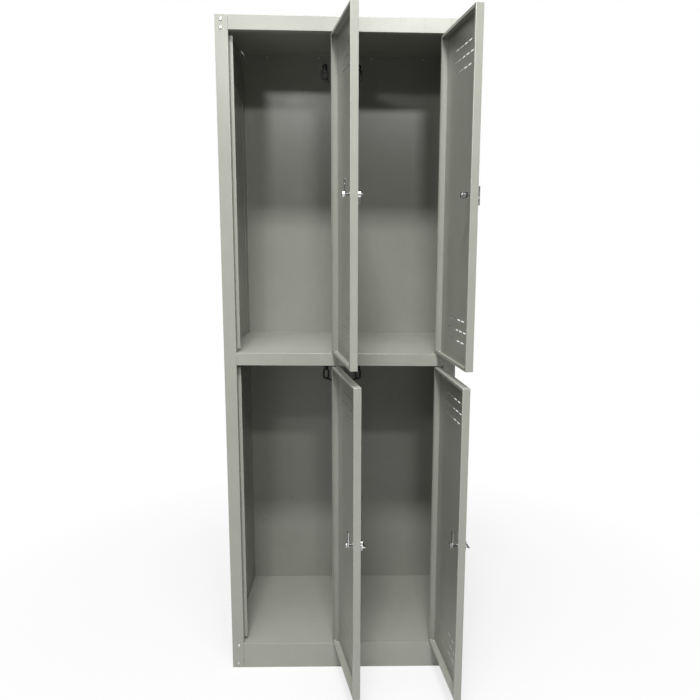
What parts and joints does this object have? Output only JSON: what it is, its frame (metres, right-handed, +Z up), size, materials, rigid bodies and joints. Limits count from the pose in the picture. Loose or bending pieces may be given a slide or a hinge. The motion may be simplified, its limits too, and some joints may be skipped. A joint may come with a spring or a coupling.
{
  "type": "locker cabinet",
  "caption": "Light grey steel locker cabinet with its hinged louvred doors open, hasp latches and coat hooks.",
  "frame": {"origin": "middle of the carcass's footprint, on the floor", "axes": "+X to the right as seen from the front, +Y from the front towards the back, +Z up"},
  "size_m": [0.6502, 0.6658, 1.8],
  "materials": {
    "light_grey_paint": "semi-gloss powder coat",
    "bright_zinc": "bright zinc plate",
    "black_plastic": "satin",
    "rivet_aluminium": "satin"
  },
  "bodies": {
    "carcass": {"left_side_panel": "light_grey_paint", "right_side_panel": "light_grey_paint", "top_panel": "light_grey_paint", "middle_shelf": "light_grey_paint", "bottom_panel": "light_grey_paint", "floor_brace": "light_grey_paint", "back_panel": "light_grey_paint", "upper_partition": "light_grey_paint", "lower_partition": "light_grey_paint", "upper_centre_post": "light_grey_paint", "lower_centre_post": "light_grey_paint", "hook_rivets": "black_plastic", "front_rivets": "rivet_aluminium", "side_rivets": "rivet_aluminium", "back_rivets": "rivet_aluminium", "hinge_washers": "bright_zinc", "upper_left_coat_hook": "black_plastic", "upper_right_coat_hook": "black_plastic", "lower_left_coat_hook": "black_plastic", "lower_right_coat_hook": "black_plastic"},
    "upper_left_leaf": {"upper_left_door": "light_grey_paint", "upper_left_hinge_pins": "bright_zinc", "upper_left_latch_body": "bright_zinc", "upper_left_body_nut": "bright_zinc"},
    "upper_left_latch": {"upper_left_latch_handle": "bright_zinc", "upper_left_latch_spindle": "bright_zinc", "upper_left_latch_cam": "bright_zinc", "upper_left_cam_nut": "bright_zinc"},
    "upper_right_leaf": {"upper_right_door": "light_grey_paint", "upper_right_hinge_pins": "bright_zinc", "upper_right_latch_body": "bright_zinc", "upper_right_body_nut": "bright_zinc"},
    "upper_right_latch": {"upper_right_latch_handle": "bright_zinc", "upper_right_latch_spindle": "bright_zinc", "upper_right_latch_cam": "bright_zinc", "upper_right_cam_nut": "bright_zinc"},
    "lower_left_leaf": {"lower_left_door": "light_grey_paint", "lower_left_hinge_pins": "bright_zinc", "lower_left_latch_body": "bright_zinc", "lower_left_body_nut": "bright_zinc"},
    "lower_left_latch": {"lower_left_latch_handle": "bright_zinc", "lower_left_latch_spindle": "bright_zinc", "lower_left_latch_cam": "bright_zinc", "lower_left_cam_nut": "bright_zinc"},
    "lower_right_leaf": {"lower_right_door": "light_grey_paint", "lower_right_hinge_pins": "bright_zinc", "lower_right_latch_body": "bright_zinc", "lower_right_body_nut": "bright_zinc"},
    "lower_right_latch": {"lower_right_latch_handle": "bright_zinc", "lower_right_latch_spindle": "bright_zinc", "lower_right_latch_cam": "bright_zinc", "lower_right_cam_nut": "bright_zinc"}
  },
  "joints": [
    {"name": "upper_left_door_hinge", "type": "hinge", "parent": "carcass", "child": "upper_left_leaf", "pos_m": [-0.009, -0.195, 1.3505], "axis": [0, 0, 1], "range_deg": [-102, 16]},
    {"name": "upper_left_latch_turn", "type": "hinge", "parent": "upper_left_leaf", "child": "upper_left_latch", "pos_m": [0.03965, -0.42389, 1.3505], "axis": [0.9781, 0.2079, 0], "range_deg": [0, 90]},
    {"name": "upper_right_door_hinge", "type": "hinge", "parent": "carcass", "child": "upper_right_leaf", "pos_m": [0.273, -0.195, 1.3505], "axis": [0, 0, 1], "range_deg": [-100, 18]},
    {"name": "upper_right_latch_turn", "type": "hinge", "parent": "upper_right_leaf", "child": "upper_right_latch", "pos_m": [0.31363, -0.42545, 1.3505], "axis": [0.9848, 0.1736, 0], "range_deg": [-90, 0]},
    {"name": "lower_left_door_hinge", "type": "hinge", "parent": "carcass", "child": "lower_left_leaf", "pos_m": [-0.009, -0.195, 0.4895], "axis": [0, 0, 1], "range_deg": [-104, 14]},
    {"name": "lower_left_latch_turn", "type": "hinge", "parent": "lower_left_leaf", "child": "lower_left_latch", "pos_m": [0.04761, -0.42205, 0.4895], "axis": [0.9703, 0.2419, 0], "range_deg": [0, 90]},
    {"name": "lower_right_door_hinge", "type": "hinge", "parent": "carcass", "child": "lower_right_leaf", "pos_m": [0.273, -0.195, 0.4895], "axis": [0, 0, 1], "range_deg": [-99, 19]},
    {"name": "lower_right_latch_turn", "type": "hinge", "parent": "lower_right_leaf", "child": "lower_right_latch", "pos_m": [0.30961, -0.42612, 0.4895], "axis": [0.9877, 0.1564, 0], "range_deg": [0, 90]}
  ]
}
